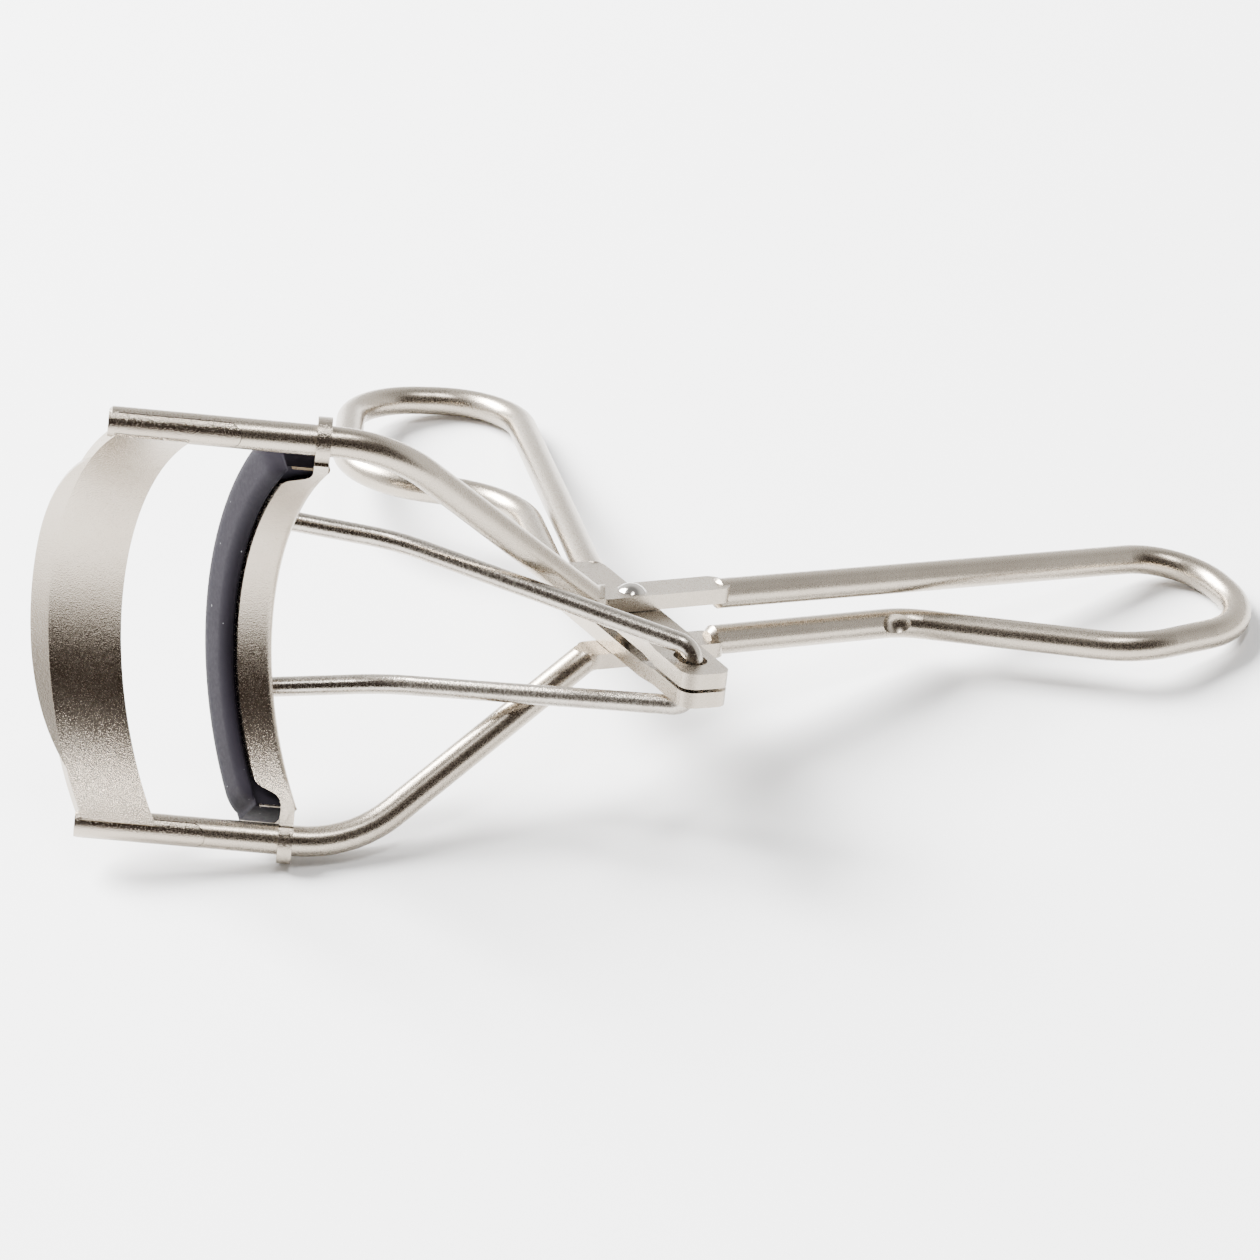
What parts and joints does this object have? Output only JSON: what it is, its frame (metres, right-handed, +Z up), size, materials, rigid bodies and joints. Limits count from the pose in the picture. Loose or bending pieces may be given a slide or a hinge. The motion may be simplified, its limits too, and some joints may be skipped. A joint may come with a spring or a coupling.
{
  "type": "eyelash curler",
  "caption": "Wire-frame eyelash curler with two finger loops, a curved fixed bar, a sliding lower bar with a soft pad, and a thin link wire.",
  "frame": {"origin": "centre of the bounding box on the table plane, under the lying tool", "axes": "+Z up from the table; the tool lies as it was set down, its jaw toward -X and its fixed finger loop toward +X; the rivet axis leans about 17 degrees from +Z"},
  "size_m": [0.1012, 0.0702, 0.0384],
  "materials": {
    "satin_nickel": "satin nickel plate on steel wire",
    "nickel_sheet": "fine blasted nickel plate on steel sheet",
    "nickel_weld": "plated weld metal, slightly rough",
    "silicone": "matt dark slate-violet silicone"
  },
  "bodies": {
    "frame": {"frame_wire": "satin_nickel", "rivet": "satin_nickel", "upper_bar": "nickel_sheet"},
    "handle": {"moving_handle": "satin_nickel"},
    "jaw": {"lower_bar": "nickel_sheet", "lash_pad": "silicone", "link_wire": "satin_nickel", "link_weld_far": "nickel_weld", "link_weld_near": "nickel_weld"}
  },
  "joints": [
    {"name": "handle_hinge", "type": "hinge", "parent": "frame", "child": "handle", "pos_m": [-0.0022, -0.0181, 0.01222], "axis": [-0.1278, -0.2455, -0.9609], "range_deg": [0, 37]},
    {"name": "jaw_slide", "type": "slide", "parent": "frame", "child": "jaw", "axis": [-0.991, -0.0084, 0.1339], "range_m": [0, 0.0076]}
  ],
  "couplings": [
    {"joint": "jaw_slide", "follows": "handle_hinge", "m_per_rad": 0.011737}
  ]
}
